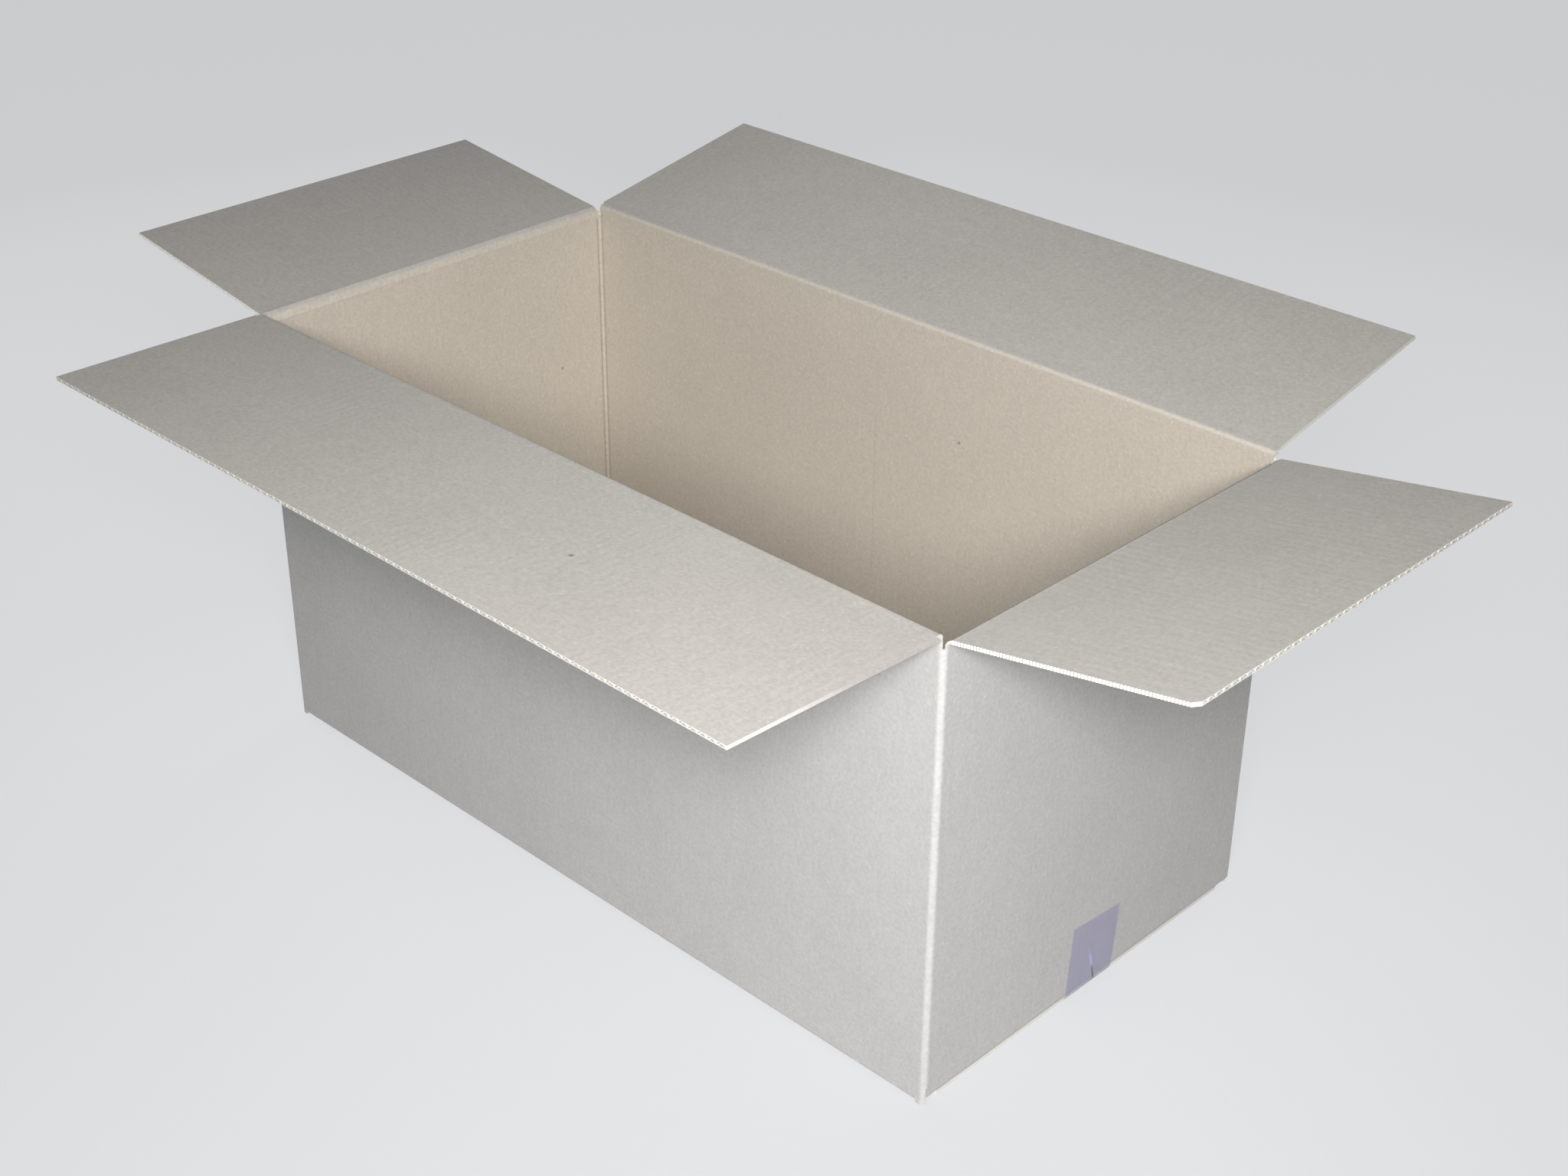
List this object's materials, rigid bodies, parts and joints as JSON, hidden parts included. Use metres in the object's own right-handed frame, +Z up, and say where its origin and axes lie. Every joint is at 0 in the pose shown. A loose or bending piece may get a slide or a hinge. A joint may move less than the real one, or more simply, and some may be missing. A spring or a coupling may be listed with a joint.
{
  "type": "open cardboard box",
  "caption": "Open rectangular shipping carton of folded corrugated board, bottom seam taped shut, top flaps hinged on their creases, for packing and carrying goods.",
  "frame": {"origin": "centre of the base, on the surface that the carton stands on", "axes": "+Z up through the open top, +X along the length towards the end wall with the leaning tape, -Y out of the front long wall"},
  "size_m": [0.9062, 0.6068, 0.3423],
  "materials": {
    "board": "matt uncoated liner",
    "tape": "smooth film"
  },
  "bodies": {
    "box": {"box_body": "board", "bottom_tape": "tape"},
    "front": {"front_flap": "board"},
    "back": {"back_flap": "board"},
    "left": {"left_flap": "board"},
    "right": {"right_flap": "board"}
  },
  "joints": [
    {"name": "front_crease", "type": "hinge", "parent": "box", "child": "front", "pos_m": [0, -0.15265, 0.31095], "axis": [-1, 0, 0], "range_deg": [-76.1, 178.9]},
    {"name": "back_crease", "type": "hinge", "parent": "box", "child": "back", "pos_m": [0, 0.15265, 0.31095], "axis": [1, 0, 0], "range_deg": [-85.9, 169.1]},
    {"name": "left_crease", "type": "hinge", "parent": "box", "child": "left", "pos_m": [-0.30265, 0, 0.30815], "axis": [0, 1, 0], "range_deg": [-81.8, 173.2]},
    {"name": "right_crease", "type": "hinge", "parent": "box", "child": "right", "pos_m": [0.30265, 0, 0.30815], "axis": [0, -1, 0], "range_deg": [-84.9, 170.1]}
  ]
}
